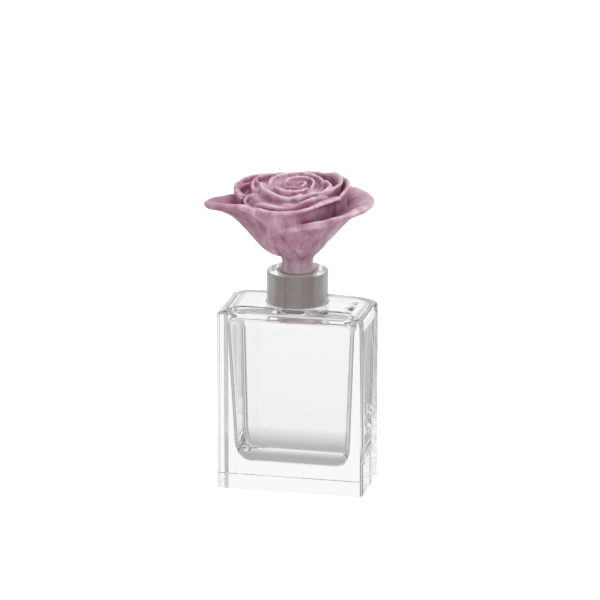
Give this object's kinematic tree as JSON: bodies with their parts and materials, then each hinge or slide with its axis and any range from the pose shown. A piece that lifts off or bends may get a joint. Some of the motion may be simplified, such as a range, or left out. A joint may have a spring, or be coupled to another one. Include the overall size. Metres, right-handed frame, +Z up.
{
  "type": "perfume bottle",
  "caption": "Rectangular thick-walled crystal perfume flacon with a ground conical neck and a lift-out ground stopper topped by a cast-glass rose.",
  "frame": {"origin": "centre of the flat base, on the axis of the neck and the stopper", "axes": "+Z up along the neck, -Y towards the broad front face, +X to the right seen from the front"},
  "size_m": [0.0817, 0.0639, 0.158],
  "materials": {
    "clear_crystal": "fire-polished clear lead crystal, satin-ground inside the neck",
    "ground_crystal": "ground to a fine even matt all over its cone",
    "cast_rose_glass": "kiln-cast mauve glass, satin, clouded with paler glass at the petal lips"
  },
  "bodies": {
    "bottle": {"crystal_bottle": "clear_crystal"},
    "stopper": {"ground_plug": "ground_crystal", "cast_rose": "cast_rose_glass"}
  },
  "joints": [
    {"name": "stopper_lift", "type": "slide", "parent": "bottle", "child": "stopper", "axis": [0, 0, 1], "range_m": [0, 0.04]}
  ]
}
